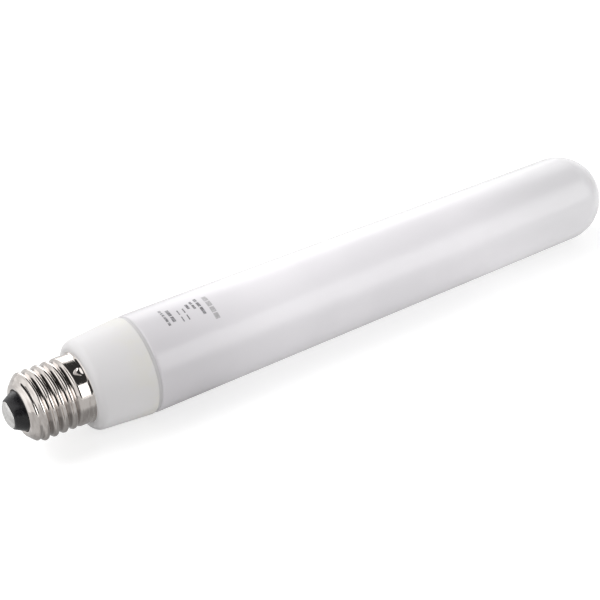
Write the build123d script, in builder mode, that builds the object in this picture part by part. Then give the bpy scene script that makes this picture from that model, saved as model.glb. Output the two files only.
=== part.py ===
from build123d import *
import os
from math import cos, floor, radians, sin, tan

# Tubular lamp on a screw cap, in millimetres.
# It lies along X: the centre contact's outer face is at the origin, the tube's rounded end points to +X,
# and +Z is up.

# Opal tube
overall_length = 288.0
tube_diameter = 38.0
tube_wall = 1.5
tube_edge_length = 1.0

# Collar: a tapered moulding with a spigot at each end, one in the tube and one in the cap
collar_length = 22.3
collar_floor_diameter = 34.1
collar_corner_round = 3.2
collar_mouth_chamfer = 0.3
seat_ring_width = 1.4
seat_ring_step = 0.5
tube_spigot_length = 8.0
tube_spigot_clearance = 0.1
cap_spigot_clearance = 0.1

# Screw cap: a rolled sheet shell with a thread between its conical shoulder and its plain skirt
cap_height = 28.4
cap_sheet = 0.4
end_face_x = 5.0
end_face_diameter = 19.2
end_face_round = 1.0
shoulder_angle = 40.0
thread_diameter = 26.2
thread_pitch = 3.629
thread_depth = 1.1
thread_crest_round = 1.025
thread_flank_angle = 45.0
thread_lead_in = 3.85
thread_buried_turns = 2
skirt_length = 4.4
skirt_rise = 0.04
lip_length = 1.0
lip_flare = 0.4

# Stakes: punched dimples in the skirt that lock the cap to the collar's spigot
stake_count = 3
stake_angle = 28.0
stake_diameter = 3.2
stake_depth = 0.7
stake_from_rim = 2.2

# Insulator: a moulded cone through the cap's end, held by a flange behind the cap's turned-in edge
insulator_base_diameter = 15.4
insulator_nose_diameter = 11.0
insulator_nose_chamfer = 0.4
insulator_clearance = 0.05
turned_edge_length = 1.0
flange_step = 1.0
flange_length = 2.5
lead_room = 4.0

# Centre contact: a crowned disc with a flat land, on a shank
contact_diameter = 9.9
contact_land_diameter = 5.0
contact_crown = 0.95
contact_edge = 0.3
shank_diameter = 3.0

# Stations along the axis, from the contact's outer face
contact_seat_x = contact_crown + contact_edge
inner_face_x = end_face_x + cap_sheet
flange_x = end_face_x + turned_edge_length
flange_end_x = flange_x + flange_length
cap_spigot_end_x = flange_end_x + lead_room
skirt_x = cap_height - skirt_length
lip_x = cap_height - lip_length
collar_mouth_x = cap_height + collar_length
tube_start_x = collar_mouth_x + seat_ring_width
tube_edge_x = tube_start_x + tube_edge_length
tube_spigot_end_x = tube_start_x + tube_spigot_length
dome_x = overall_length - tube_diameter / 2

# Radii
tube_radius = tube_diameter / 2
tube_bore_radius = tube_radius - tube_wall
seat_ring_radius = tube_radius - seat_ring_step
crest_radius = thread_diameter / 2
core_radius = crest_radius - thread_depth
bore_radius = core_radius - cap_sheet
skirt_radius = crest_radius + skirt_rise
skirt_bore_radius = skirt_radius - cap_sheet
lip_radius = skirt_radius + lip_flare
cap_hole_radius = insulator_base_diameter / 2
shank_hole_radius = shank_diameter / 2 + insulator_clearance

# Thread: straight flanks, whose feet are sunk in the sheet, and a round crest drawn as a flat and two bevels.
# The ridge starts some turns before the shoulder, which cuts them away, and runs by whole turns into the skirt.
flank_slope = tan(radians(thread_flank_angle))
crest_half_width = thread_crest_round * sin(radians(thread_flank_angle))
crest_drop = thread_crest_round * (1 - cos(radians(thread_flank_angle)))
crest_half_flat = thread_crest_round * tan(radians(thread_flank_angle / 4))
foot_radius = core_radius - cap_sheet / 2
foot_half_width = crest_half_width + (crest_radius - crest_drop - foot_radius) / flank_slope
thread_start_x = end_face_x + thread_lead_in - thread_buried_turns * thread_pitch
thread_turns = floor((skirt_x - thread_start_x) / thread_pitch) + 1

# Shoulder: the cone between the end face and the thread, and its inner side one sheet further in
shoulder_slope = tan(radians(shoulder_angle))
trim_radius = lip_radius + thread_depth
trim_x = end_face_x + (trim_radius - end_face_diameter / 2) / shoulder_slope
inner_face_radius = end_face_diameter / 2 - cap_sheet * tan(radians(90 - shoulder_angle) / 2)
bore_x = inner_face_x + (bore_radius - inner_face_radius) / shoulder_slope
skirt_bore_x = skirt_x + skirt_bore_radius - bore_radius

# Stakes: spheres that dent the skirt, the first one turned from the top towards -Y
stake_radius = ((stake_diameter / 2) ** 2 + stake_depth ** 2) / (2 * stake_depth)
stake_reach = skirt_radius - stake_depth + stake_radius
stake_floor_radius = skirt_radius - stake_depth - cap_sheet
stake_plane = Plane(origin=(cap_height - stake_from_rim, 0, 0), x_dir=(0, 0, 1), z_dir=(1, 0, 0))

# Room within which an edge counts as the one looked for
edge_match = 0.01


def outline(*points):
    """Closed outline of (x, radius) points, ready to be turned about the lamp's axis."""
    with BuildSketch(Plane.XZ) as profile:
        with BuildLine():
            Polyline(*points, close=True)
        make_face()
    return profile.sketch


def rings(part, x, radius):
    """The circular edges at a station along the axis that have the given radius."""
    circles = part.edges().filter_by(GeomType.CIRCLE)
    return circles.filter_by(lambda edge: abs(edge.arc_center.X - x) + abs(edge.radius - radius) < edge_match)


def stake_balls(radius, mode):
    """Balls of the given radius at the stakes' places round the skirt."""
    with Locations(stake_plane):
        with PolarLocations(stake_reach, stake_count, start_angle=stake_angle):
            Sphere(radius, mode=mode)


# Opal tube: blown with a hemispherical end, and fire-polished at the edge that stands on the collar
with BuildPart() as opal_tube:
    with BuildSketch(Plane.XZ):
        with BuildLine():
            Polyline(
                (overall_length, 0),
                (tube_spigot_end_x, 0),
                (tube_spigot_end_x, tube_bore_radius),
                (tube_start_x, tube_bore_radius),
                (tube_start_x, seat_ring_radius),
            )
            TangentArc((tube_edge_x, tube_radius), (tube_start_x, seat_ring_radius), tangent=(-1, 0))
            Line((tube_edge_x, tube_radius), (dome_x, tube_radius))
            CenterArc((dome_x, 0), tube_radius, 0, 90)
        make_face()
    revolve(axis=Axis.X)

# Collar: solid inside, with a land on its cap spigot under the stakes
with BuildPart() as collar:
    revolve(
        outline(
            (cap_spigot_end_x, 0),
            (cap_spigot_end_x, bore_radius - cap_spigot_clearance),
            (skirt_bore_x, bore_radius - cap_spigot_clearance),
            (skirt_bore_x, stake_floor_radius - cap_spigot_clearance),
            (cap_height, stake_floor_radius - cap_spigot_clearance),
            (cap_height, collar_floor_diameter / 2),
            (collar_mouth_x, tube_radius),
            (collar_mouth_x, seat_ring_radius),
            (tube_start_x, seat_ring_radius),
            (tube_start_x, tube_bore_radius - tube_spigot_clearance),
            (tube_spigot_end_x, tube_bore_radius - tube_spigot_clearance),
            (tube_spigot_end_x, 0),
        ),
        axis=Axis.X,
    )
    fillet(rings(collar, cap_height, collar_floor_diameter / 2), collar_corner_round)
    chamfer(rings(collar, collar_mouth_x, tube_radius), collar_mouth_chamfer)

# Bumps that the stakes raise on the inner side of the skirt
with BuildPart() as stake_bumps:
    stake_balls(stake_radius + cap_sheet, Mode.ADD)
    revolve(
        outline((skirt_x, 0), (skirt_x, skirt_radius), (cap_height, skirt_radius), (cap_height, 0)),
        axis=Axis.X,
        mode=Mode.INTERSECT,
    )

# Screw shell
with BuildPart() as screw_shell:
    # Core with the thread's ridge, swept along a right-hand helix
    revolve(
        outline(
            (thread_start_x - thread_pitch, 0),
            (thread_start_x - thread_pitch, core_radius),
            (cap_height, core_radius),
            (cap_height, 0),
        ),
        axis=Axis.X,
    )
    with BuildLine() as thread_path:
        Helix(
            pitch=thread_pitch,
            height=thread_turns * thread_pitch,
            radius=crest_radius,
            center=(thread_start_x, 0, 0),
            direction=(1, 0, 0),
        )
    with BuildSketch(Plane.XZ):
        with BuildLine():
            Polyline(
                (thread_start_x - crest_half_width, crest_radius - crest_drop),
                (thread_start_x - crest_half_flat, crest_radius),
                (thread_start_x + crest_half_flat, crest_radius),
                (thread_start_x + crest_half_width, crest_radius - crest_drop),
            )
            Polyline(
                (thread_start_x + crest_half_width, crest_radius - crest_drop),
                (thread_start_x + foot_half_width, foot_radius),
                (thread_start_x - foot_half_width, foot_radius),
                (thread_start_x - crest_half_width, crest_radius - crest_drop),
            )
        make_face()
    sweep(path=thread_path.wires()[0], is_frenet=True)
    # Plain skirt that the thread runs out into, with a flared lip at the rim
    with BuildSketch(Plane.XZ):
        with BuildLine():
            Polyline(
                (cap_height, lip_radius),
                (cap_height, 0),
                (skirt_x - foot_half_width, 0),
                (skirt_x - foot_half_width, foot_radius),
                (skirt_x - crest_half_width, skirt_radius - crest_drop),
            )
            CenterArc(
                (skirt_x, skirt_radius - thread_crest_round), thread_crest_round, 90, thread_flank_angle
            )
            Line((skirt_x, skirt_radius), (lip_x, skirt_radius))
            TangentArc((lip_x, skirt_radius), (cap_height, lip_radius), tangent=(1, 0))
        make_face()
    revolve(axis=Axis.X)
    # The flat end face and the conical shoulder cut the thread's start
    revolve(
        outline(
            (end_face_x, 0),
            (end_face_x, end_face_diameter / 2),
            (trim_x, trim_radius),
            (cap_height, trim_radius),
            (cap_height, 0),
        ),
        axis=Axis.X,
        mode=Mode.INTERSECT,
    )
    # Inside: the edge turned in round the insulator, the shoulder, the bore and the skirt
    revolve(
        outline(
            (end_face_x, 0),
            (end_face_x, cap_hole_radius),
            (flange_x, cap_hole_radius),
            (flange_x, cap_hole_radius + cap_sheet),
            (inner_face_x, cap_hole_radius + cap_sheet),
            (inner_face_x, inner_face_radius),
            (bore_x, bore_radius),
            (skirt_x, bore_radius),
            (skirt_bore_x, skirt_bore_radius),
            (cap_height, skirt_bore_radius),
            (cap_height, 0),
        ),
        axis=Axis.X,
        mode=Mode.SUBTRACT,
    )
    fillet(rings(screw_shell, end_face_x, end_face_diameter / 2), end_face_round)
    chamfer(rings(screw_shell, end_face_x, cap_hole_radius), cap_sheet)
    # Stakes, with the sheet's thickness kept by the bumps
    add(stake_bumps.part)
    stake_balls(stake_radius, Mode.SUBTRACT)

# Insulator
with BuildPart() as insulator:
    revolve(
        outline(
            (contact_seat_x, shank_hole_radius),
            (contact_seat_x, insulator_nose_diameter / 2),
            (inner_face_x, cap_hole_radius - insulator_clearance),
            (flange_x, cap_hole_radius - insulator_clearance),
            (flange_x, cap_hole_radius + flange_step),
            (flange_end_x, cap_hole_radius + flange_step),
            (flange_end_x, shank_hole_radius),
        ),
        axis=Axis.X,
    )
    chamfer(rings(insulator, contact_seat_x, insulator_nose_diameter / 2), insulator_nose_chamfer)

# Centre contact
with BuildPart() as centre_contact:
    with BuildSketch(Plane.XZ):
        with BuildLine():
            TangentArc((0, contact_land_diameter / 2), (contact_crown, contact_diameter / 2), tangent=(0, 1))
            Polyline(
                (contact_crown, contact_diameter / 2),
                (contact_seat_x, contact_diameter / 2),
                (contact_seat_x, shank_diameter / 2),
                (flange_end_x, shank_diameter / 2),
                (flange_end_x, 0),
                (0, 0),
                (0, contact_land_diameter / 2),
            )
        make_face()
    revolve(axis=Axis.X)

pieces = {
    "opal_tube": opal_tube,
    "collar": collar,
    "screw_shell": screw_shell,
    "insulator": insulator,
    "centre_contact": centre_contact,
}
os.makedirs("parts", exist_ok=True)
for name, piece in pieces.items():
    piece.part.label = name
    export_step(piece.part, f"parts/{name}.step")
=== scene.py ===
"""Looks, studio and camera of a tubular lamp on a screw cap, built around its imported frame."""

import logging
import math
from dataclasses import dataclass, field
from enum import Enum

import bmesh
import bpy
from mathutils import Euler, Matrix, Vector


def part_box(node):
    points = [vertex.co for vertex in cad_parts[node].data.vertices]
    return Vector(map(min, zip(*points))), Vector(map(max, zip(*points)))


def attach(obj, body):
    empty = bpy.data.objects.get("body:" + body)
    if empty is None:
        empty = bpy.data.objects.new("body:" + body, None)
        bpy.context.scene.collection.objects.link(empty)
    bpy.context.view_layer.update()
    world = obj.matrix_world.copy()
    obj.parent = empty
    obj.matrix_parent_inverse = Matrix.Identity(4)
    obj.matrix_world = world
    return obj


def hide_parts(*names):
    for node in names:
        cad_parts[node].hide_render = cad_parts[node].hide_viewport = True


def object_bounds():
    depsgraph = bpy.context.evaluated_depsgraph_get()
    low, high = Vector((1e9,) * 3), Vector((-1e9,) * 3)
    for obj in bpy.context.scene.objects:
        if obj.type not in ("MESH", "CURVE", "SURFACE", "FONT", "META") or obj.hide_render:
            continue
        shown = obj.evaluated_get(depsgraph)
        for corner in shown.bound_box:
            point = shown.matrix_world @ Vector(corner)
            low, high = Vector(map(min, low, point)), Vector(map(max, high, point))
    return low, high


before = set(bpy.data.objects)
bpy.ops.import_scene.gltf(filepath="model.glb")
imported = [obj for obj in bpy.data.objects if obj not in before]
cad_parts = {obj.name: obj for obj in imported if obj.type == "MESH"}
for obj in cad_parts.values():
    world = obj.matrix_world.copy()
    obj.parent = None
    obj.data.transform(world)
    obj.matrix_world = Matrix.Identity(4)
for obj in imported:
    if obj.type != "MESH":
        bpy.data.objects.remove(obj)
cad_low, cad_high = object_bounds()

log = logging.getLogger("tubular_lamp")

MM = 0.001
FULL_TURN = 2 * math.pi
BODY = "root"
ROOT_DEPTH = "root_depth"
MERGE_DISTANCE = 1e-7
UNIT_HALF = 0.5  # half the side of a unit square, and the middle of its UV map
BOW_PEAK = 27 / 4  # brings the peak of share**2 * (1 - share) to 1
MIX_FIRST, MIX_SECOND, MIX_RESULT = 6, 7, 2  # places of the Mix node's colour sockets

Point = tuple[float, float]
Corner = tuple[float, float, float]
Colour = tuple[float, float, float]
Place = tuple[float, float, float]
Socket = bpy.types.NodeSocket
Value = Socket | float | tuple[float, ...]

WHITE: Colour = (1.0, 1.0, 1.0)
BLACK: Colour = (0.0, 0.0, 0.0)
EVEN: Place = (1.0, 1.0, 1.0)


class Slot(str, Enum):
    """Material slots of the record that the pieces stand for."""

    OPAL = "opal_tube"
    COLLAR = "collar"
    CAP = "cap_metal"
    INSULATOR = "insulator"
    CONTACT = "contact_metal"


class Ends(Enum):
    """How the two ends of a turned outline are closed."""

    ON_AXIS = "both ends lie on the axis"
    JOINED = "the last point joins the first"


@dataclass(frozen=True)
class NodeBox:
    """Ends and outer radius of a turned node, in metres along the lamp's axis."""

    start: float
    end: float
    radius: float

    @classmethod
    def of(cls, node: str) -> "NodeBox":
        """Reads a node's box from the frame.

        Args:
            node: name of the CAD node.

        Returns:
            The node's ends along X and its largest radius.
        """
        low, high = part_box(node)
        return cls(low[0], high[0], high[2])


def rounded(corners: list[Corner], pieces: int = 8) -> list[Point]:
    """Outline whose corners are rounded by arcs.

    Args:
        corners: (x, radius, round) of each corner, in metres; a round of 0 leaves it sharp.
        pieces: straight pieces in each arc.

    Returns:
        The outline's (x, radius) points.
    """
    places = [Vector((x, r)) for x, r, _ in corners]
    points: list[Point] = []
    for i, (here, (_, _, size)) in enumerate(zip(places, corners)):
        if size == 0 or i in (0, len(places) - 1):
            points.append(tuple(here))
            continue
        back = (places[i - 1] - here).normalized()
        on = (places[i + 1] - here).normalized()
        half = back.angle(on) / 2
        centre = here + (back + on).normalized() * size / math.sin(half)
        first = here + back * size / math.tan(half) - centre
        last = here + on * size / math.tan(half) - centre
        sweep = first.angle(last)
        for k in range(pieces + 1):
            share = k / pieces
            arm = first * math.sin((1 - share) * sweep) + last * math.sin(share * sweep)
            points.append(tuple(centre + arm / math.sin(sweep)))
    return points


def arc(centre: Point, radius: float, start: float, end: float, pieces: int) -> list[Point]:
    """Points along an arc.

    Args:
        centre: (x, radius) of the arc's centre.
        radius: the arc's own radius.
        start: first angle in degrees, from +X towards the outside.
        end: last angle in degrees.
        pieces: straight pieces in the arc.

    Returns:
        The arc's (x, radius) points.
    """
    points = []
    for k in range(pieces + 1):
        angle = math.radians(start + (end - start) * k / pieces)
        points.append((centre[0] + radius * math.cos(angle), centre[1] + radius * math.sin(angle)))
    return points


def turned(outline: list[Point], steps: int, ends: Ends) -> bmesh.types.BMesh:
    """Turns an outline about the lamp's axis.

    Args:
        outline: (x, radius) points.
        steps: steps in the full turn.
        ends: how the outline is closed.

    Returns:
        A closed bmesh, with its normals pointing outwards.
    """
    shape = bmesh.new()
    row = [shape.verts.new((x, 0.0, radius)) for x, radius in outline]
    pairs = list(zip(row, row[1:]))
    if ends is Ends.JOINED:
        pairs.append((row[-1], row[0]))
    edges = [shape.edges.new(pair) for pair in pairs]
    bmesh.ops.spin(
        shape,
        geom=row + edges,
        cent=(0, 0, 0),
        axis=(1, 0, 0),
        angle=FULL_TURN,
        steps=steps,
        use_merge=True,
    )
    bmesh.ops.remove_doubles(shape, verts=shape.verts, dist=MERGE_DISTANCE)
    bmesh.ops.recalc_face_normals(shape, faces=shape.faces)
    return shape


def as_object(name: str, shape: bmesh.types.BMesh, sharp_from: float = 35.0) -> bpy.types.Object:
    """Makes a smooth-shaded object of a bmesh.

    Args:
        name: the piece's name.
        shape: the bmesh, which is freed.
        sharp_from: angle in degrees from which an edge is shaded sharp.

    Returns:
        The linked object, at the origin.
    """
    mesh = bpy.data.meshes.new(name)
    shape.to_mesh(mesh)
    shape.free()
    mesh.polygons.foreach_set("use_smooth", [True] * len(mesh.polygons))
    mesh.set_sharp_from_angle(angle=math.radians(sharp_from))
    piece = bpy.data.objects.new(name, mesh)
    bpy.context.scene.collection.objects.link(piece)
    return piece


def seat(piece: bpy.types.Object, material: bpy.types.Material, slot: Slot, *nodes: str) -> None:
    """Gives a piece its material and ties it to the frame.

    Args:
        piece: the finished piece.
        material: its material.
        slot: the record's slot that it stands for, which is only logged.
        nodes: the CAD nodes that it stands for.
    """
    piece.data.materials.append(material)
    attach(piece, BODY)
    if nodes:
        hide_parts(*nodes)
    log.info("%s: %d faces, slot %s", piece.name, len(piece.data.polygons), slot.value)


def facing(place: Place, aim: Place) -> Euler:
    """Turn that points a light or a camera from its place to its aim."""
    return (Vector(aim) - Vector(place)).to_track_quat("-Z", "Y").to_euler()


def opaque(colour: Colour) -> tuple[float, float, float, float]:
    """Gives a colour a full alpha."""
    return (*colour, 1.0)


@dataclass(frozen=True)
class Noise:
    """Noise on Object coordinates: its grains in a metre, its octaves and a factor for each axis."""

    scale: float
    detail: float
    stretch: Place = EVEN


@dataclass(frozen=True)
class Pattern:
    """Noise of which one range becomes a share or another of the shader's values."""

    noise: Noise
    source: Point
    target: Point = (0.0, 1.0)


@dataclass(frozen=True)
class Relief:
    """Noise raised from a surface, with the depth of a full step in metres."""

    noise: Noise
    depth: float


class Shader:
    """A material's node tree round one Principled shader."""

    def __init__(self, name: str, **sockets: Value) -> None:
        """Starts a material.

        Args:
            name: the material's name.
            sockets: values for the shader's sockets, with _ for a space in the name.
        """
        self.material = bpy.data.materials.new(name)
        self.material.use_nodes = True
        self.tree = self.material.node_tree
        self.surface = self.tree.nodes["Principled BSDF"]
        self.drive(**sockets)

    def feed(self, socket: Socket, value: Value) -> None:
        """Links a socket to an input, or sets the input's value.

        Args:
            socket: the input.
            value: value for it, or socket to link to it.
        """
        if isinstance(value, Socket):
            self.tree.links.new(value, socket)
        else:
            socket.default_value = value

    def fill(self, target: bpy.types.Node, inputs: dict[str, Value]) -> None:
        """Feeds a node's inputs.

        Args:
            target: the node.
            inputs: values or sockets by the inputs' names, with _ for a space.
        """
        for name, value in inputs.items():
            self.feed(target.inputs[name.replace("_", " ")], value)

    def node(self, kind: str, **inputs: Value) -> bpy.types.Node:
        """Adds a node.

        Args:
            kind: the node's type.
            inputs: values or sockets for its inputs, with _ for a space in the name.

        Returns:
            The new node.
        """
        made = self.tree.nodes.new(kind)
        self.fill(made, inputs)
        return made

    def drive(self, **sockets: Value) -> bpy.types.Material:
        """Feeds the shader's own sockets.

        Args:
            sockets: values or sockets by the shader's input names, with _ for a space.

        Returns:
            The material.
        """
        self.fill(self.surface, sockets)
        return self.material

    def place(self, stretch: Place = EVEN) -> Socket:
        """Object coordinates, stretched along the lamp's axes.

        Args:
            stretch: factor for each axis.

        Returns:
            The vector socket.
        """
        coordinates = self.node("ShaderNodeTexCoord").outputs["Object"]
        return self.node("ShaderNodeMapping", Vector=coordinates, Scale=stretch).outputs["Vector"]

    def along_axis(self, start: float, end: float) -> Socket:
        """Smooth rise from 0 to 1 between two stations along the lamp's axis.

        Args:
            start: station of the 0, in metres.
            end: station of the 1.

        Returns:
            The value socket.
        """
        split = self.node("ShaderNodeSeparateXYZ", Vector=self.place())
        return self.remap(split.outputs["X"], (start, end), (0.0, 1.0))

    def attribute(self, name: str) -> Socket:
        """Value of one of the mesh's own attributes.

        Args:
            name: the attribute's name.

        Returns:
            The value socket.
        """
        made = self.tree.nodes.new("ShaderNodeAttribute")
        made.attribute_name = name
        return made.outputs["Fac"]

    def noise(self, grain: Noise) -> Socket:
        """Adds noise.

        Args:
            grain: its scale, detail and stretch.

        Returns:
            The noise's value socket.
        """
        where = self.place(grain.stretch)
        made = self.node("ShaderNodeTexNoise", Vector=where, Scale=grain.scale, Detail=grain.detail)
        return made.outputs["Fac"]

    def pattern(self, wanted: Pattern) -> Socket:
        """Adds noise, mapped to the pattern's values."""
        return self.remap(self.noise(wanted.noise), wanted.source, wanted.target)

    def relief(self, wanted: Relief, over: Socket | None = None) -> Socket:
        """Bump from noise.

        Args:
            wanted: the noise and its depth.
            over: normal socket of another relief beneath.

        Returns:
            The normal socket.
        """
        made = self.node("ShaderNodeBump", Height=self.noise(wanted.noise), Distance=wanted.depth)
        if over is not None:
            self.feed(made.inputs["Normal"], over)
        return made.outputs["Normal"]

    def math(self, operation: str, first: Value, second: Value = 0.0) -> Socket:
        """Combines two values, or changes one.

        Args:
            operation: the Math node's operation.
            first: value or value socket.
            second: value or value socket.

        Returns:
            The result's socket.
        """
        made = self.tree.nodes.new("ShaderNodeMath")
        made.operation = operation
        self.feed(made.inputs[0], first)
        self.feed(made.inputs[1], second)
        return made.outputs[0]

    def remap(self, value: Socket, source: Point, target: Point) -> Socket:
        """Maps a range of values smoothly to another one.

        Args:
            value: the value socket.
            source: lowest and highest value to map.
            target: what they become.

        Returns:
            The mapped value socket.
        """
        made = self.node("ShaderNodeMapRange", Value=value)
        made.interpolation_type = "SMOOTHSTEP"
        for name, limit in zip(("From Min", "From Max", "To Min", "To Max"), (*source, *target)):
            made.inputs[name].default_value = limit
        return made.outputs["Result"]

    def mix(self, share: Socket, first: Value, second: Value) -> Socket:
        """Mixes two colours.

        Args:
            share: socket that gives the second colour's share.
            first: colour or colour socket.
            second: colour or colour socket.

        Returns:
            The mixed colour socket.
        """
        made = self.tree.nodes.new("ShaderNodeMix")
        made.data_type = "RGBA"
        self.feed(made.inputs["Factor"], share)
        for index, colour in ((MIX_FIRST, first), (MIX_SECOND, second)):
            self.feed(made.inputs[index], colour if isinstance(colour, Socket) else opaque(colour))
        return made.outputs[MIX_RESULT]


@dataclass(frozen=True)
class OpalFinish:
    """Opal glass, smooth and glossy, with slow waves, faint clouds in its white, and painted shade that
    greys both ends.
    """

    white: Colour = (0.80, 0.782, 0.808)
    cloud: Colour = (0.825, 0.806, 0.832)
    # Painted shade: the tube greys towards the collar.
    foot_shade: Colour = (0.64, 0.623, 0.645)
    foot_shade_start: float = 54.0 * MM
    foot_shade_end: float = 112.0 * MM
    # Painted shade: the tube greys towards its rounded end.
    tip: Colour = (0.70, 0.69, 0.707)
    tip_shade_start: float = 195.0 * MM
    tip_shade_end: float = 262.0 * MM
    ior: float = 1.5
    clouds: Pattern = Pattern(Noise(30.0, 2.0), (0.35, 0.65))
    gloss: Pattern = Pattern(Noise(160.0, 3.0), (0.3, 0.7), (0.20, 0.26))
    waves: Relief = Relief(Noise(22.0, 1.0), 0.05 * MM)

    def build(self) -> bpy.types.Material:
        """Builds the material.

        Returns:
            The material.
        """
        shader = Shader("opal_glass", IOR=self.ior)
        # Painted shade greys the white towards the collar and towards the rounded end.
        past_foot_shade = shader.along_axis(self.foot_shade_start, self.foot_shade_end)
        near_tip_shade = shader.along_axis(self.tip_shade_start, self.tip_shade_end)
        clouded = shader.mix(shader.pattern(self.clouds), self.white, self.cloud)
        white = shader.mix(past_foot_shade, self.foot_shade, clouded)
        return shader.drive(
            Base_Color=shader.mix(near_tip_shade, white, self.tip),
            Roughness=shader.pattern(self.gloss),
            Normal=shader.relief(self.waves),
        )


@dataclass(frozen=True)
class MouldedFinish:
    """White moulded plastic, satin, a little warmer at its mouth, with painted shade greying the groove
    behind it.
    """

    white: Colour = (0.685, 0.673, 0.679)
    warm: Colour = (0.69, 0.675, 0.64)
    # Painted shade in the groove behind the mouth.
    seam_shade: Colour = (0.55, 0.54, 0.545)
    mouth_start: float = 36.0 * MM
    mouth_end: float = 50.4 * MM
    seam_shade_start: float = 50.68 * MM
    seam_shade_end: float = 50.76 * MM
    ior: float = 1.46
    blotches: Pattern = Pattern(Noise(140.0, 3.0), (0.4, 0.65), (0.25, 1.0))
    satin: Pattern = Pattern(Noise(900.0, 2.0), (0.3, 0.7), (0.40, 0.52))
    grain: Relief = Relief(Noise(5000.0, 3.0), 0.012 * MM)

    def build(self) -> bpy.types.Material:
        """Builds the material.

        Returns:
            The material.
        """
        shader = Shader("moulded_white", IOR=self.ior)
        mouth = shader.along_axis(self.mouth_start, self.mouth_end)
        warmth = shader.math("MULTIPLY", mouth, shader.pattern(self.blotches))
        plain = shader.mix(warmth, self.white, self.warm)
        # Painted shade greys the collar from the mouth on, in the groove.
        behind = shader.along_axis(self.seam_shade_start, self.seam_shade_end)
        return shader.drive(
            Base_Color=shader.mix(behind, plain, self.seam_shade),
            Roughness=shader.pattern(self.satin),
            Normal=shader.relief(self.grain),
        )


@dataclass(frozen=True)
class PlatedFinish:
    """Bright nickel plating on rolled sheet, with faint rolling marks and painted shade in the thread
    roots.
    """

    bright: Colour = (0.80, 0.752, 0.716)
    warm: Colour = (0.64, 0.59, 0.56)
    # Painted shade that darkens the thread roots by their depth below the crest.
    root_shade: Colour = (0.27, 0.235, 0.215)
    root_shade_depth: Point = (0.72, 1.0)
    root_shade_share: Point = (0.0, 0.75)
    patches: Pattern = Pattern(Noise(420.0, 4.0, (2.5, 0.5, 0.5)), (0.4, 0.7))
    gloss: Pattern = Pattern(Noise(500.0, 4.0, (2.0, 1.0, 1.0)), (0.3, 0.75), (0.07, 0.15))
    marks: Relief = Relief(Noise(900.0, 2.0, (3.0, 0.3, 0.3)), 0.0015 * MM)
    dimples: Relief = Relief(Noise(300.0, 2.0), 0.03 * MM)

    def build(self) -> bpy.types.Material:
        """Builds the material.

        Returns:
            The material.
        """
        shader = Shader("nickel_plating", Metallic=1.0)
        plating = shader.mix(shader.pattern(self.patches), self.bright, self.warm)
        # Painted shade in the thread roots, strongest where the sheet lies deepest.
        root_shade_amount = shader.remap(shader.attribute(ROOT_DEPTH), self.root_shade_depth, self.root_shade_share)
        return shader.drive(
            Base_Color=shader.mix(root_shade_amount, plating, self.root_shade),
            Roughness=shader.pattern(self.gloss),
            Normal=shader.relief(self.dimples, shader.relief(self.marks)),
        )


@dataclass(frozen=True)
class InsulatorFinish:
    """Black moulded insulator with a dull sheen."""

    black: Colour = (0.005, 0.0045, 0.006)
    dust: Colour = (0.014, 0.013, 0.016)
    ior: float = 1.55
    dusty: Pattern = Pattern(Noise(700.0, 4.0), (0.45, 0.7))
    sheen: Pattern = Pattern(Noise(1500.0, 3.0), (0.3, 0.7), (0.24, 0.36))
    grain: Relief = Relief(Noise(2600.0, 3.0), 0.006 * MM)

    def build(self) -> bpy.types.Material:
        """Builds the material.

        Returns:
            The material.
        """
        shader = Shader("black_insulator", IOR=self.ior)
        return shader.drive(
            Base_Color=shader.mix(shader.pattern(self.dusty), self.black, self.dust),
            Roughness=shader.pattern(self.sheen),
            Normal=shader.relief(self.grain),
        )


@dataclass(frozen=True)
class ContactFinish:
    """Tinned contact, satin, with the soft unevenness of a dipped metal."""

    tin: Colour = (0.84, 0.83, 0.82)
    dull: Colour = (0.70, 0.69, 0.67)
    spots: Pattern = Pattern(Noise(900.0, 4.0), (0.4, 0.7))
    satin: Pattern = Pattern(Noise(1600.0, 3.0), (0.3, 0.7), (0.34, 0.50))
    dips: Relief = Relief(Noise(650.0, 2.0), 0.05 * MM)

    def build(self) -> bpy.types.Material:
        """Builds the material.

        Returns:
            The material.
        """
        shader = Shader("tinned_contact", Metallic=1.0)
        return shader.drive(
            Base_Color=shader.mix(shader.pattern(self.spots), self.tin, self.dull),
            Roughness=shader.pattern(self.satin),
            Normal=shader.relief(self.dips),
        )


@dataclass(frozen=True)
class InkFinish:
    """Grey printing ink, worn thin in places."""

    name: str = "dark_ink"
    dark: Colour = (0.16, 0.155, 0.165)
    worn: Colour = (0.36, 0.355, 0.37)
    roughness: float = 0.45
    wear: Pattern = Pattern(Noise(1400.0, 3.0), (0.4, 0.68))

    def build(self) -> bpy.types.Material:
        """Builds the material."""
        shader = Shader(self.name, Roughness=self.roughness)
        return shader.drive(Base_Color=shader.mix(shader.pattern(self.wear), self.dark, self.worn))


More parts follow.
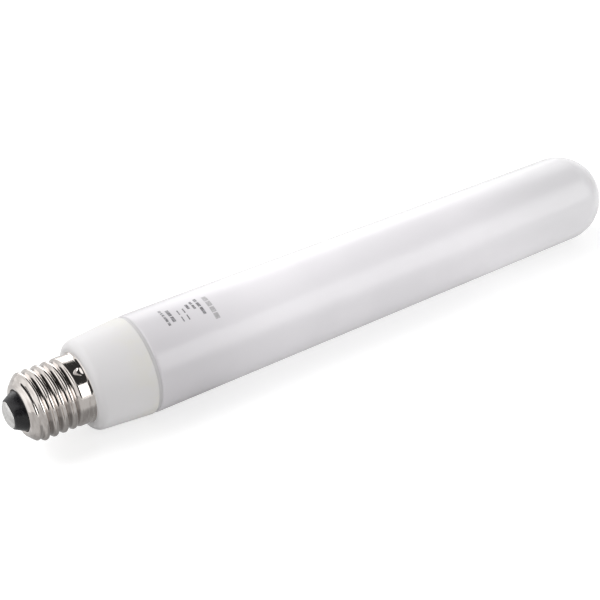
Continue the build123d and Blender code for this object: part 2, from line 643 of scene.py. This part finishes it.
@dataclass
class OpalTube:
    """Blown tube with a hemispherical end and a fire-polished edge at the collar."""

    wall: float = 1.5 * MM
    edge_length: float = 1.0 * MM
    edge_step: float = 0.5 * MM
    spigot_room: float = 8.0 * MM
    steps: int = 256
    edge_pieces: int = 8
    dome_pieces: int = 48
    finish: OpalFinish = OpalFinish()
    box: NodeBox = field(default_factory=lambda: NodeBox.of("opal_tube"))

    def outline(self) -> list[Point]:
        """Outline from the bore's floor round the edge and along the tube to the tip.

        Returns:
            The (x, radius) points.
        """
        start, radius = self.box.start, self.box.radius
        floor = start + self.spigot_room
        bore = radius - self.wall
        dome = self.box.end - radius
        edge = []
        for k in range(self.edge_pieces + 1):
            angle = math.pi / 2 * (1 - k / self.edge_pieces)
            along = self.edge_length * (1 - math.sin(angle))
            edge.append((start + along, radius - self.edge_step * (1 - math.cos(angle))))
        tip = arc((dome, 0.0), radius, 90, 0, self.dome_pieces)
        return [(floor, 0.0), (floor, bore), (start, bore), *edge, *tip]

    def build(self) -> None:
        """Builds and dresses the tube."""
        piece = as_object("tube_glass", turned(self.outline(), self.steps, Ends.ON_AXIS))
        seat(piece, self.finish.build(), Slot.OPAL, "opal_tube")


@dataclass
class Collar:
    """Tapered moulding with a spigot in the cap and one in the tube."""

    cap_rim: float = 28.4 * MM
    mouth: float = 50.7 * MM
    floor_radius: float = 17.05 * MM
    mouth_radius: float = 19.0 * MM
    corner_round: float = 3.2 * MM
    mouth_round: float = 0.3 * MM
    groove_radius: float = 18.5 * MM
    tube_spigot_radius: float = 17.4 * MM
    cap_spigot_radius: float = 11.5 * MM
    stake_land_radius: float = 11.9 * MM
    stake_land_start: float = 25.14 * MM
    arc_pieces: int = 14
    steps: int = 256
    finish: MouldedFinish = MouldedFinish()
    box: NodeBox = field(default_factory=lambda: NodeBox.of("collar"))
    tube: NodeBox = field(default_factory=lambda: NodeBox.of("opal_tube"))

    def outline(self) -> list[Point]:
        """Outline from the cap spigot's end over the taper to the tube spigot's end.

        Returns:
            The (x, radius) points.
        """
        seat_x = self.tube.start
        return rounded(
            [
                (self.box.start, 0.0, 0.0),
                (self.box.start, self.cap_spigot_radius, 0.0),
                (self.stake_land_start, self.cap_spigot_radius, 0.0),
                (self.stake_land_start, self.stake_land_radius, 0.0),
                (self.cap_rim, self.stake_land_radius, 0.0),
                (self.cap_rim, self.floor_radius, self.corner_round),
                (self.mouth, self.mouth_radius, self.mouth_round),
                (self.mouth, self.groove_radius, 0.0),
                (seat_x, self.groove_radius, 0.0),
                (seat_x, self.tube_spigot_radius, 0.0),
                (self.box.end, self.tube_spigot_radius, 0.0),
                (self.box.end, 0.0, 0.0),
            ],
            pieces=self.arc_pieces,
        )

    def build(self) -> None:
        """Builds and dresses the collar."""
        piece = as_object("collar_moulding", turned(self.outline(), self.steps, Ends.ON_AXIS))
        seat(piece, self.finish.build(), Slot.COLLAR, "collar")


def soft_low(first: float, second: float, blend: float) -> float:
    """The lower of two values, with the crease between them rounded.

    Args:
        first: one value.
        second: the other value.
        blend: difference within which they are blended.

    Returns:
        The blended value.
    """
    share = min(max(0.5 + 0.5 * (second - first) / blend, 0.0), 1.0)
    return second + (first - second) * share - blend * share * (1 - share)


def soft_high(first: float, second: float, blend: float) -> float:
    """The higher of two values, with the crease between them rounded as in soft_low."""
    return -soft_low(-first, -second, blend)


def smooth_rise(value: float, start: float, end: float) -> float:
    """Smooth rise from 0 to 1.

    Args:
        value: where the rise is asked for.
        start: value of the 0.
        end: value of the 1.

    Returns:
        The share between 0 and 1.
    """
    share = min(max((value - start) / (end - start), 0.0), 1.0)
    return share * share * (3 - 2 * share)


@dataclass
class ScrewShell:
    """Rolled sheet cap with a round thread, a bowed shoulder, a staked skirt and a flared lip."""

    sheet: float = 0.4 * MM
    hole_radius: float = 7.9 * MM
    hole_round: float = 0.5 * MM
    turned_edge: float = 1.0 * MM
    end_radius: float = 9.6 * MM
    end_round: float = 1.0 * MM
    shoulder_angle: float = 43.0
    shoulder_bow: float = 0.22 * MM
    shoulder_round: float = 0.7 * MM
    groove_depth: float = 0.78 * MM
    groove_width: float = 0.72 * MM
    groove_shift: float = 0.4 * MM
    groove_start: float = -35.0
    groove_full: float = 15.0
    crest_radius: float = 13.1 * MM
    pitch: float = 3.629 * MM
    crest_round: float = 0.8 * MM
    root_round: float = 1.25 * MM
    bend_round: float = 1.025 * MM
    lead_in: float = 3.85 * MM
    bore_radius: float = 11.6 * MM
    skirt_length: float = 4.4 * MM
    skirt_rise: float = 0.04 * MM
    lip_length: float = 1.0 * MM
    lip_flare: float = 0.4 * MM
    stake_angle: float = 28.0
    stake_count: int = 3
    stake_from_rim: float = 2.2 * MM
    stake_width: float = 3.2 * MM
    stake_depth: float = 0.7 * MM
    stake_lobes: float = 0.35
    lobe_count: int = 3
    crease: float = 0.12 * MM
    blank_radius: float = 15.0 * MM
    row_gap: float = 0.115 * MM
    inner_row_gap: float = 0.3 * MM
    steps: int = 320
    sharp_from: float = 60.0
    finish: PlatedFinish = PlatedFinish()
    box: NodeBox = field(default_factory=lambda: NodeBox.of("screw_shell"))

    def __post_init__(self) -> None:
        """Works out the stations and radii that the sizes give."""
        self.slope = math.tan(math.radians(self.shoulder_angle))
        self.skirt_x = self.box.end - self.skirt_length
        self.lip_x = self.box.end - self.lip_length
        self.skirt_radius = self.crest_radius + self.skirt_rise
        self.skirt_bore = self.skirt_radius - self.sheet
        self.shoulder_length = (self.crest_radius - self.end_radius) / self.slope
        both = self.crest_round + self.root_round
        flank = math.asin(self.pitch / 2 / both)
        self.crest_half = self.crest_round * math.sin(flank)
        self.thread_depth = both * (1 - math.cos(flank))
        self.stake_x = self.box.end - self.stake_from_rim
        self.stake_ball = ((self.stake_width / 2) ** 2 + self.stake_depth**2) / (2 * self.stake_depth)

    def thread_drop(self, offset: float) -> float:
        """Depth of the rolled thread, which has an arc over its crest and a wider one in its root.

        Args:
            offset: distance from the crest along the axis, up to half a pitch.

        Returns:
            The depth below the crest.
        """
        if offset <= self.crest_half:
            return self.crest_round - math.sqrt(self.crest_round**2 - offset**2)
        rest = self.pitch / 2 - offset
        return self.thread_depth - (self.root_round - math.sqrt(self.root_round**2 - rest**2))

    def skirt_at(self, x: float) -> float:
        """Radius of the plain skirt, its rounded start and its flared lip.

        Args:
            x: station along the axis, in metres.

        Returns:
            The radius.
        """
        if x > self.lip_x:
            return self.skirt_radius + self.lip_flare * ((x - self.lip_x) / self.lip_length) ** 2
        before = max(self.skirt_x - x, 0.0)
        bend = self.bend_round * math.sqrt(0.5)  # the bend turns by 45 degrees
        if before <= bend:
            return self.skirt_radius - (self.bend_round - math.sqrt(self.bend_round**2 - before**2))
        return self.skirt_radius - (self.bend_round - bend) - (before - bend)

    def shoulder_at(self, x: float, turn: float) -> float:
        """Radius of the bowed shoulder, with the groove in which the thread's first root runs in.

        Args:
            x: station along the axis, in metres.
            turn: angle in radians from the top towards the camera's side.

        Returns:
            The radius.
        """
        along = x - self.box.start
        share = min(max(along / self.shoulder_length, 0.0), 1.0)
        cone = self.end_radius + along * self.slope
        bowed = cone + self.shoulder_bow * BOW_PEAK * share**2 * (1 - share)
        root_x = self.box.start + self.lead_in + self.pitch * (turn / FULL_TURN - 0.5)
        off = (x - root_x - self.groove_shift) / self.groove_width
        run_in = smooth_rise(math.degrees(turn), self.groove_start, self.groove_full)
        return bowed - self.groove_depth * run_in * math.exp(-off * off)

    def dent_at(self, x: float, turn: float) -> float:
        """Depth of the stakes' dents.

        Args:
            x: station along the axis, in metres.
            turn: angle in radians from the top towards the camera's side.

        Returns:
            The depth.
        """
        depth = 0.0
        for k in range(self.stake_count):
            turned_by = turn - math.radians(self.stake_angle) - FULL_TURN * k / self.stake_count
            across = self.skirt_radius * math.remainder(turned_by, FULL_TURN)
            off = math.hypot(x - self.stake_x, across)
            if off > self.stake_width:
                continue
            bearing = math.atan2(across, x - self.stake_x)
            lobes = self.stake_lobes * math.cos(self.lobe_count * bearing)
            lobed = off * (1 + lobes * off / self.stake_width)
            sphere = math.sqrt(max(self.stake_ball**2 - lobed**2, 0.0))
            ball = sphere - self.stake_ball + self.stake_depth
            depth += soft_high(ball, 0.0, self.crease)
        return depth

    def outer_at(self, x: float, turn: float) -> float:
        """Outer radius of the sheet.

        Args:
            x: station along the axis, in metres.
            turn: angle in radians from the top towards the camera's side.

        Returns:
            The radius.
        """
        turns = (x - self.box.start - self.lead_in) / self.pitch - turn / FULL_TURN
        offset = abs(turns - round(turns)) * self.pitch
        thread = self.crest_radius - self.thread_drop(offset)
        wall = soft_high(thread, self.skirt_at(x), self.crease)
        return soft_low(wall, self.shoulder_at(x, turn), self.shoulder_round) - self.dent_at(x, turn)

    def outline(self) -> list[Point]:
        """Closed outline of the sheet: end face, blank rows for the outside, rim, and the inner wall.

        Returns:
            The (x, radius) points.
        """
        start, end = self.box.start, self.box.end
        bend_end = start + self.end_round * (1 - math.sin(math.radians(self.shoulder_angle)))
        cone_x = bend_end + self.row_gap
        face = rounded(
            [
                (start + self.turned_edge, self.hole_radius, 0.0),
                (start, self.hole_radius, self.hole_round),
                (start, self.end_radius, self.end_round),
                (cone_x, self.end_radius + (cone_x - start) * self.slope, 0.0),
            ]
        )[:-1]
        rows = round((end - cone_x) / self.row_gap)
        outside = [(cone_x + (end - cone_x) * k / rows, self.blank_radius) for k in range(rows + 1)]
        inner_face = start + self.sheet
        half_bend = math.radians(90 - self.shoulder_angle) / 2
        inner_radius = self.end_radius - self.sheet * math.tan(half_bend)
        bore_x = inner_face + (self.bore_radius - inner_radius) / self.slope
        skirt_bore_x = self.skirt_x + self.skirt_bore - self.bore_radius
        inner_length = end - skirt_bore_x
        inner_rows = round(inner_length / self.inner_row_gap)
        inside = [(end - inner_length * k / inner_rows, self.skirt_bore) for k in range(inner_rows + 1)]
        back = [
            (self.skirt_x, self.bore_radius),
            (bore_x, self.bore_radius),
            (inner_face, inner_radius),
            (inner_face, self.hole_radius + self.sheet),
            (start + self.turned_edge, self.hole_radius + self.sheet),
        ]
        return [*face, *outside, *inside, *back]

    def roll(self, shape: bmesh.types.BMesh) -> None:
        """Presses the blank's outside to the thread and the stakes into both sides of the skirt.

        Args:
            shape: the turned blank; it gets the depth below the crest as an attribute.
        """
        depth = shape.verts.layers.float.new(ROOT_DEPTH)
        for vert in shape.verts:
            x, y, z = vert.co
            radius = math.hypot(y, z)
            turn = math.atan2(-y, z)
            if radius > self.blank_radius - self.sheet:
                wanted = self.outer_at(x, turn)
                if x > self.box.start + self.shoulder_length:
                    vert[depth] = max((self.crest_radius - wanted) / self.thread_depth, 0.0)
            elif radius > self.bore_radius + self.sheet and x > self.skirt_x:
                wanted = radius - self.dent_at(x, turn)
            else:
                continue
            vert.co.y *= wanted / radius
            vert.co.z *= wanted / radius

    def build(self) -> None:
        """Builds and dresses the shell."""
        shape = turned(self.outline(), self.steps, Ends.JOINED)
        self.roll(shape)
        bmesh.ops.recalc_face_normals(shape, faces=shape.faces)
        piece = as_object("cap_shell", shape, self.sharp_from)
        seat(piece, self.finish.build(), Slot.CAP, "screw_shell")


@dataclass
class Insulator:
    """Black cone in the cap's end, with a flange behind the cap's turned-in edge."""

    nose_radius: float = 5.5 * MM
    nose_round: float = 0.4 * MM
    base_x: float = 5.5 * MM
    base_radius: float = 7.85 * MM
    flange_x: float = 6.0 * MM
    shank_radius: float = 1.55 * MM
    steps: int = 192
    finish: InsulatorFinish = InsulatorFinish()
    box: NodeBox = field(default_factory=lambda: NodeBox.of("insulator"))

    def outline(self) -> list[Point]:
        """Closed outline from the shank's hole over the nose and the flange.

        Returns:
            The (x, radius) points.
        """
        nose, end = self.box.start, self.box.end
        return rounded(
            [
                (nose, self.shank_radius, 0.0),
                (nose, self.nose_radius, self.nose_round),
                (self.base_x, self.base_radius, 0.0),
                (self.flange_x, self.base_radius, 0.0),
                (self.flange_x, self.box.radius, 0.0),
                (end, self.box.radius, 0.0),
                (end, self.shank_radius, 0.0),
            ]
        )

    def build(self) -> None:
        """Builds and dresses the insulator."""
        piece = as_object("cap_insulator", turned(self.outline(), self.steps, Ends.JOINED))
        seat(piece, self.finish.build(), Slot.INSULATOR, "insulator")


@dataclass
class CentreContact:
    """Crowned disc with a flat land, on a shank."""

    land_radius: float = 2.5 * MM
    crown: float = 0.95 * MM
    edge: float = 0.3 * MM
    edge_round: float = 0.12 * MM
    shank_radius: float = 1.5 * MM
    steps: int = 192
    crown_pieces: int = 12
    finish: ContactFinish = ContactFinish()
    box: NodeBox = field(default_factory=lambda: NodeBox.of("centre_contact"))

    def outline(self) -> list[Point]:
        """Outline from the land's middle over the crown and the edge to the shank's end.

        Returns:
            The (x, radius) points.
        """
        radius, end = self.box.radius, self.box.end
        rise = radius - self.land_radius
        size = (rise**2 + self.crown**2) / (2 * self.crown)
        sweep = math.degrees(math.asin(rise / size))
        crown = arc((size, self.land_radius), size, 180, 180 - sweep, self.crown_pieces)
        seat_x = self.crown + self.edge
        rim = rounded(
            [
                (crown[-1][0], crown[-1][1], 0.0),
                (seat_x, radius, self.edge_round),
                (seat_x, self.shank_radius, 0.0),
                (end, self.shank_radius, 0.0),
                (end, 0.0, 0.0),
            ]
        )
        return [(0.0, 0.0), *crown[:-1], *rim]

    def build(self) -> None:
        """Builds and dresses the contact."""
        piece = as_object("contact_disc", turned(self.outline(), self.steps, Ends.ON_AXIS))
        seat(piece, self.finish.build(), Slot.CONTACT, "centre_contact")


@dataclass(frozen=True)
class PrintRow:
    """Row of plain dashes round the tube, from its first angle in degrees."""

    x: float
    start: float
    width: float
    dashes: tuple[float, ...]
    gap: float = 0.45 * MM


SMALL_ROWS = (
    PrintRow(63.0 * MM, -2.0, 1.0 * MM, (1.2 * MM, 0.7 * MM, 0.9 * MM, 2.6 * MM, 1.4 * MM)),
    PrintRow(65.4 * MM, 2.0, 1.3 * MM, (3.4 * MM, 2.6 * MM)),
    PrintRow(68.7 * MM, 8.0, 0.5 * MM, (2.4 * MM, 2.4 * MM), 1.0 * MM),
    PrintRow(71.0 * MM, 8.0, 0.5 * MM, (2.4 * MM, 2.4 * MM), 1.0 * MM),
    PrintRow(73.2 * MM, 4.0, 1.1 * MM, (2.6 * MM,)),
    PrintRow(75.3 * MM, 2.0, 1.0 * MM, (1.6 * MM, 2.2 * MM)),
    PrintRow(77.5 * MM, 0.0, 1.2 * MM, (1.8 * MM, 2.4 * MM, 3.4 * MM)),
)
LARGE_ROWS = (PrintRow(81.2 * MM, 2.0, 1.9 * MM, (2.5 * MM, 2.5 * MM, 2.5 * MM, 2.5 * MM)),)
DARK_INK = InkFinish()
PALE_INK = InkFinish(name="pale_ink", dark=(0.40, 0.39, 0.40), worn=(0.52, 0.51, 0.52))


@dataclass
class PrintBlock:
    """Rows of plain grey dashes on the tube."""

    name: str
    rows: tuple[PrintRow, ...]
    finish: InkFinish
    film: float = 0.02 * MM
    dash_pieces: int = 8
    tube: NodeBox = field(default_factory=lambda: NodeBox.of("opal_tube"))

    def dash(self, shape: bmesh.types.BMesh, x: float, turn: float, size: Point) -> None:
        """Lays one dash on the tube.

        Args:
            shape: the bmesh that takes the dash.
            x: station of its middle.
            turn: angle of its start from the top, in radians.
            size: its length round the tube and its width along the axis.
        """
        made = bmesh.ops.create_grid(shape, x_segments=1, y_segments=self.dash_pieces, size=UNIT_HALF)
        radius = self.tube.radius + self.film
        for vert in made["verts"]:
            angle = turn + (vert.co.y + UNIT_HALF) * size[0] / self.tube.radius
            along = x + vert.co.x * size[1]
            vert.co = (along, -radius * math.sin(angle), radius * math.cos(angle))

    def build(self) -> None:
        """Builds and dresses the block of dashes."""
        shape = bmesh.new()
        for row in self.rows:
            turn = math.radians(row.start)
            for length in row.dashes:
                self.dash(shape, row.x, turn, (length, row.width))
                turn += (length + row.gap) / self.tube.radius
        bmesh.ops.recalc_face_normals(shape, faces=shape.faces)
        bmesh.ops.solidify(shape, geom=shape.faces[:], thickness=self.film)
        piece = as_object(self.name, shape)
        seat(piece, self.finish.build(), Slot.OPAL)


class Shown(Enum):
    """Whether reflections show a light."""

    REFLECTED = "seen in reflections"
    HIDDEN = "not seen in reflections"


@dataclass(frozen=True)
class SoftBox:
    """One studio light."""

    name: str
    place: Place
    aim: Place
    width: float
    height: float
    watts: float
    shown: Shown = Shown.HIDDEN

    def build(self) -> None:
        """Hangs the light and turns it to its aim."""
        light = bpy.data.lights.new(self.name, "AREA")
        light.shape = "RECTANGLE"
        light.size = self.width
        light.size_y = self.height
        light.energy = self.watts
        lamp = bpy.data.objects.new(self.name, light)
        lamp.location = self.place
        lamp.rotation_euler = facing(self.place, self.aim)
        lamp.visible_camera = False
        lamp.visible_glossy = self.shown is Shown.REFLECTED
        bpy.context.scene.collection.objects.link(lamp)


@dataclass(frozen=True)
class Card:
    """Glowing card that only reflections show, with a soft border from its level to its rim's."""

    name: str
    centre: Place
    aim: Place
    width: float
    height: float
    level: float
    border: float
    rim: float = 1.0

    def material(self) -> bpy.types.Material:
        """Glow of the card's level, blended to its rim's level at the border.

        Returns:
            The material.
        """
        shader = Shader(
            self.name,
            Base_Color=opaque(BLACK),
            Specular_IOR_Level=0.0,
            Emission_Color=opaque(WHITE),
        )
        flat = shader.node("ShaderNodeTexCoord").outputs["UV"]
        across = shader.node("ShaderNodeSeparateXYZ", Vector=flat)
        inside = []
        for axis, size in (("X", self.width), ("Y", self.height)):
            off = shader.math("SUBTRACT", across.outputs[axis], UNIT_HALF)
            reach = (UNIT_HALF - self.border / size, UNIT_HALF)
            inside.append(shader.remap(shader.math("ABSOLUTE", off), reach, (1.0, 0.0)))
        share = shader.math("MULTIPLY", *inside)
        glow = shader.math("ADD", shader.math("MULTIPLY", share, self.level - self.rim), self.rim)
        return shader.drive(Emission_Strength=glow)

    def build(self) -> None:
        """Sets the card up, facing its aim."""
        shape = bmesh.new()
        shape.loops.layers.uv.new("card")
        bmesh.ops.create_grid(shape, x_segments=1, y_segments=1, size=UNIT_HALF, calc_uvs=True)
        turn = (Vector(self.aim) - Vector(self.centre)).to_track_quat("Z", "Y")
        for vert in shape.verts:
            flat = Vector((vert.co.x * self.width, vert.co.y * self.height, 0.0))
            vert.co = Vector(self.centre) + turn @ flat
        card = as_object(self.name, shape)
        card.data.materials.append(self.material())
        card.visible_camera = False
        card.visible_diffuse = False
        card.visible_shadow = False


# Name, place, aim, width, height in metres, and watts.
LIGHTS = (
    SoftBox("back_box", (0.60, 1.0, 0.42), (0.17, 0.0, 0.0), 1.5, 0.75, 4.7, Shown.REFLECTED),
    SoftBox("front_box", (0.95, -0.95, 0.56), (0.13, 0.0, 0.0), 1.4, 0.9, 7.9, Shown.REFLECTED),
    SoftBox("left_box", (-1.00, 0.15, 0.75), (0.03, 0.0, 0.0), 1.1, 0.9, 3.6),
    SoftBox("top_box", (-0.22, 0.33, 0.90), (0.08, 0.0, 0.0), 0.85, 0.85, 7.0),
    SoftBox("back_fill", (-0.20, 0.75, 0.45), (0.04, 0.0, 0.0), 0.5, 0.4, 1.2),
    SoftBox("left_fill", (-0.85, -0.45, 0.35), (0.03, 0.0, 0.0), 0.8, 0.6, 2.5),
    SoftBox("low_fill", (0.32, -0.34, 0.05), (0.26, 0.0, -0.01), 0.4, 0.1, 0.22),
    SoftBox("tip_fill", (0.26, -0.06, -0.0175), (0.26, -0.06, 1.0), 0.10, 0.09, 0.0095),
    SoftBox("collar_fill", (0.038, -0.04, -0.0175), (0.038, -0.04, 1.0), 0.03, 0.05, 0.0014),
    SoftBox("tip_light", (0.50, 0.30, 0.20), (0.27, 0.0, 0.0), 0.3, 0.2, 0.22),
    SoftBox("print_fill", (0.105, 0.0, 0.105), (0.105, 0.0, 0.0), 0.04, 0.04, 0.0063),
)

# Name, centre, aim, width, height in metres, level, border in metres, and the rim's level.
CARDS = (
    Card("ceiling_card", (0.50, -0.01, 0.95), (0.50, -0.01, 0.0), 2.0, 1.92, 0.035, 0.03),
    Card("band_card", (0.86, 0.86, 0.94), (0.86, 0.86, 0.0), 0.84, 0.26, 1.2, 0.04, 0.4),
    Card("tip_card", (1.27, 0.60, 0.935), (1.27, 0.60, 0.0), 0.58, 0.72, 1.8, 0.2, 0.035),
    Card("camera_card", (-0.30, -0.80, 0.40), (0.015, 0.0, 0.0), 1.2, 0.9, 0.035, 0.12),
    Card("table_card", (-0.13, -0.515, -0.0186), (-0.13, -0.515, 1.0), 0.9, 1.03, 0.56, 0.01, 0.65),
    Card("cap_card", (0.0425, -0.0175, -0.0184), (0.0425, -0.0175, 1.0), 0.095, 0.055, 0.3, 0.015, 0.56),
    Card("rear_card", (-0.04, 0.36, -0.0188), (-0.04, 0.36, 1.0), 0.62, 0.74, 0.7, 0.02),
    Card("edge_card", (0.355, 0.21, -0.0187), (0.355, 0.21, 1.0), 0.21, 0.38, 0.8, 0.03),
    Card("tip_floor", (0.43, 0.0, -0.0186), (0.43, 0.0, 1.0), 0.28, 0.12, 1.4, 0.03),
    Card("tip_glow", (0.542, 0.127, 0.067), (0.27, 0.0, 0.067), 0.22, 0.17, 1.6, 0.03),
    Card("back_card", (-0.55, 1.0, 0.20), (0.0, 0.0, 0.0), 0.8, 1.3, 0.8, 0.3),
    Card("left_glow", (-1.00, 0.15, 0.75), (0.03, 0.0, 0.0), 1.3, 1.1, 1.3, 0.4),
)


@dataclass
class Studio:
    """Pale floor, soft light and white surroundings."""

    floor_size: float = 6.0
    floor_white: Colour = (0.62, 0.62, 0.62)
    floor_roughness: float = 0.9
    floor_lift: float = 0.55
    near_radius: float = 0.55
    far_radius: float = 1.3
    ambient: float = 0.14
    lights: tuple[SoftBox, ...] = LIGHTS
    cards: tuple[Card, ...] = CARDS
    tube: NodeBox = field(default_factory=lambda: NodeBox.of("opal_tube"))
    middle: float = (cad_low[0] + cad_high[0]) / 2

    def floor(self) -> None:
        """Lays the floor under the tube: pale with the lamp's shadow, and plain white far from it."""
        shape = bmesh.new()
        bmesh.ops.create_grid(shape, x_segments=1, y_segments=1, size=self.floor_size / 2)
        bmesh.ops.translate(shape, verts=shape.verts, vec=(0.0, 0.0, -self.tube.radius))
        floor = as_object("studio_floor", shape)
        shader = Shader("pale_floor", Roughness=self.floor_roughness, Emission_Color=opaque(WHITE))
        shift = (-self.middle, 0.0, 0.0)
        flat = shader.node("ShaderNodeMapping", Vector=shader.place(), Location=shift)
        reach = shader.node("ShaderNodeVectorMath", Vector=flat.outputs["Vector"])
        reach.operation = "LENGTH"
        far = shader.remap(reach.outputs["Value"], (self.near_radius, self.far_radius), (0.0, 1.0))
        lift = shader.remap(far, (0.0, 1.0), (self.floor_lift, 1.0))
        glow = shader.math("MULTIPLY", lift, self.seen(shader.tree, 1.0, 0.0))
        paint = shader.mix(far, self.floor_white, BLACK)
        floor.data.materials.append(shader.drive(Base_Color=paint, Emission_Strength=glow))

    @staticmethod
    def seen(tree: bpy.types.NodeTree, shown: float, other: float) -> Socket:
        """Strength that differs between what is seen and what lights the lamp.

        Args:
            tree: node tree to add to.
            shown: strength for the picture, for reflections and through glass.
            other: strength for all other rays.

        Returns:
            The strength socket.
        """
        path = tree.nodes.new("ShaderNodeLightPath")
        total = path.outputs["Is Camera Ray"]
        for name in ("Is Glossy Ray", "Is Transmission Ray"):
            either = tree.nodes.new("ShaderNodeMath")
            either.operation = "MAXIMUM"
            tree.links.new(total, either.inputs[0])
            tree.links.new(path.outputs[name], either.inputs[1])
            total = either.outputs[0]
        level = tree.nodes.new("ShaderNodeMapRange")
        tree.links.new(total, level.inputs["Value"])
        level.inputs["To Min"].default_value = other
        level.inputs["To Max"].default_value = shown
        return level.outputs["Result"]

    def surroundings(self) -> None:
        """White surroundings, dimmer where they light the lamp."""
        world = bpy.data.worlds.new("studio_world")
        world.use_nodes = True
        background = world.node_tree.nodes["Background"]
        background.inputs["Color"].default_value = opaque(WHITE)
        strength = self.seen(world.node_tree, 1.0, self.ambient)
        world.node_tree.links.new(strength, background.inputs["Strength"])
        bpy.context.scene.world = world

    def build(self) -> None:
        """Sets the studio up."""
        self.floor()
        self.surroundings()
        for thing in (*self.lights, *self.cards):
            thing.build()
        bpy.context.scene.view_settings.view_transform = "Standard"
        log.info("studio: %d lights, %d cards", len(self.lights), len(self.cards))


@dataclass(frozen=True)
class PhotoCamera:
    """Camera at the photograph's place, level, aimed near the lamp's middle."""

    place: Place = (-0.11680, -0.33838, 0.27293)
    aim: Place = (0.12630, 0.00025, 0.0)
    focal_px: float = 1253.63
    frame_px: float = 600.0
    sensor: float = 36.0
    clip_start: float = 0.01

    def build(self) -> None:
        """Makes the camera the scene's own."""
        lens = bpy.data.cameras.new("photo_camera")
        lens.sensor_width = self.sensor
        lens.lens = self.focal_px * self.sensor / self.frame_px
        lens.clip_start = self.clip_start
        camera = bpy.data.objects.new("photo_camera", lens)
        camera.location = self.place
        camera.rotation_euler = facing(self.place, self.aim)
        bpy.context.scene.collection.objects.link(camera)
        bpy.context.scene.camera = camera


def main() -> None:
    """Builds the lamp, the studio and the camera."""
    logging.basicConfig(level=logging.INFO, format="%(message)s")
    PhotoCamera().build()
    Studio().build()
    for part in (OpalTube(), Collar(), ScrewShell(), Insulator(), CentreContact()):
        part.build()
    PrintBlock("print_small", SMALL_ROWS, DARK_INK).build()
    PrintBlock("print_large", LARGE_ROWS, PALE_INK).build()


if __name__ == "__main__":
    main()
